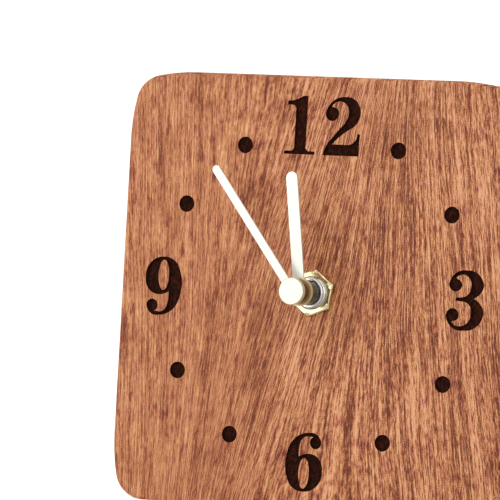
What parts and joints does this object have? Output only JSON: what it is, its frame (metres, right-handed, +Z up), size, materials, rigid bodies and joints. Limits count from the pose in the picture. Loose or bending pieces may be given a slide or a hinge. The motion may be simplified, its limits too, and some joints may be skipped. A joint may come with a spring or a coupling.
{
  "type": "desk clock",
  "caption": "Wooden desk clock: a thick wood slab leaning back on a flat foot, with burnt numerals and dots, two plain metal hands and a battery movement behind.",
  "frame": {"origin": "on the surface the clock stands on, under the middle of its width and depth", "axes": "+Z up, the dial faces -Y and leans back towards +Y, +X to the right of someone who reads the dial"},
  "size_m": [0.1094, 0.0572, 0.11],
  "materials": {
    "wood": "satin, reddish brown with short darker streaks",
    "bush_steel": "plated, satin",
    "nut_brass": "polished pale brass",
    "black_rubber": "matte",
    "black_plastic": "fine matte texture",
    "brown_plastic": "satin golden brown",
    "grey_plastic": "matte",
    "white_plastic": "natural, slightly milky",
    "stator_steel": "stamped, satin",
    "copper_wire": "enamelled copper wire",
    "screw_steel": "satin",
    "board_green": "satin lacquer",
    "chip_black": "gloss",
    "contact_nickel": "plated, bright",
    "cell_can": "bright can",
    "cell_sleeve": "plain shrink sleeve, gloss",
    "hand_gold": "satin, pale champagne gold",
    "collet_brass": "satin golden brown",
    "collet_dark": "satin, darkened",
    "magnet_ceramic": "matte ferrite"
  },
  "bodies": {
    "clock": {"wood_body": "wood", "threaded_bush": "bush_steel", "hex_nut": "nut_brass", "rubber_gasket": "black_rubber", "front_case": "black_plastic", "rear_cover": "black_plastic", "train_bridge": "grey_plastic", "stator_plate": "stator_steel", "coil_core": "stator_steel", "coil_bobbin": "white_plastic", "coil_winding": "copper_wire", "core_screws": "screw_steel", "circuit_board": "board_green", "quartz_crystal": "screw_steel", "chip_blob": "chip_black", "contact_positive": "contact_nickel", "contact_negative": "contact_nickel"},
    "minute": {"minute_hand": "hand_gold", "minute_hand_cap": "hand_gold", "minute_hand_collet": "collet_brass", "minute_arbor": "white_plastic", "clutch_spring": "screw_steel"},
    "hour": {"hour_hand": "hand_gold", "hour_hand_collet": "collet_dark", "hour_wheel": "brown_plastic"},
    "setting": {"minute_wheel": "white_plastic", "setting_knob": "black_plastic"},
    "centre": {"centre_wheel": "white_plastic"},
    "third": {"third_wheel": "white_plastic"},
    "seconds": {"seconds_wheel": "white_plastic"},
    "intermediate": {"intermediate_wheel": "white_plastic"},
    "rotor": {"rotor_pinion": "white_plastic", "rotor_magnet": "magnet_ceramic"},
    "battery": {"battery_cell": "cell_can", "battery_sleeve": "cell_sleeve"}
  },
  "joints": [
    {"name": "minute_turn", "type": "hinge", "parent": "clock", "child": "minute", "pos_m": [0, -0.00282, 0.05348], "axis": [0, 0.9912, -0.1323], "continuous": true},
    {"name": "hour_turn", "type": "hinge", "parent": "clock", "child": "hour", "pos_m": [0, -0.00282, 0.05348], "axis": [0, 0.9912, -0.1323], "continuous": true},
    {"name": "setting_turn", "type": "hinge", "parent": "clock", "child": "setting", "pos_m": [0.0096, -0.00282, 0.05348], "axis": [0, 0.9912, -0.1323], "continuous": true},
    {"name": "rotor_turn", "type": "hinge", "parent": "clock", "child": "rotor", "pos_m": [0.00465, -0.00101, 0.06708], "axis": [0, 0.9912, -0.1323], "continuous": true},
    {"name": "intermediate_turn", "type": "hinge", "parent": "clock", "child": "intermediate", "pos_m": [-0.00233, -0.00093, 0.06768], "axis": [0, 0.9912, -0.1323], "continuous": true},
    {"name": "seconds_turn", "type": "hinge", "parent": "clock", "child": "seconds", "pos_m": [-0.00909, -0.00125, 0.06524], "axis": [0, 0.9912, -0.1323], "continuous": true},
    {"name": "third_turn", "type": "hinge", "parent": "clock", "child": "third", "pos_m": [-0.00779, -0.00223, 0.05794], "axis": [0, 0.9912, -0.1323], "continuous": true},
    {"name": "centre_turn", "type": "hinge", "parent": "clock", "child": "centre", "pos_m": [0, -0.00282, 0.05348], "axis": [0, 0.9912, -0.1323], "continuous": true},
    {"name": "battery_out", "type": "slide", "parent": "clock", "child": "battery", "axis": [0, 0.9912, -0.1323], "range_m": [0, 0.028]}
  ],
  "couplings": [
    {"joint": "hour_turn", "follows": "minute_turn", "ratio": 0.083333},
    {"joint": "setting_turn", "follows": "minute_turn", "ratio": -0.33333},
    {"joint": "intermediate_turn", "follows": "rotor_turn", "ratio": -0.16667},
    {"joint": "seconds_turn", "follows": "rotor_turn", "ratio": 0.033333},
    {"joint": "third_turn", "follows": "rotor_turn", "ratio": -0.0044444},
    {"joint": "centre_turn", "follows": "rotor_turn", "ratio": 0.00055556}
  ]
}
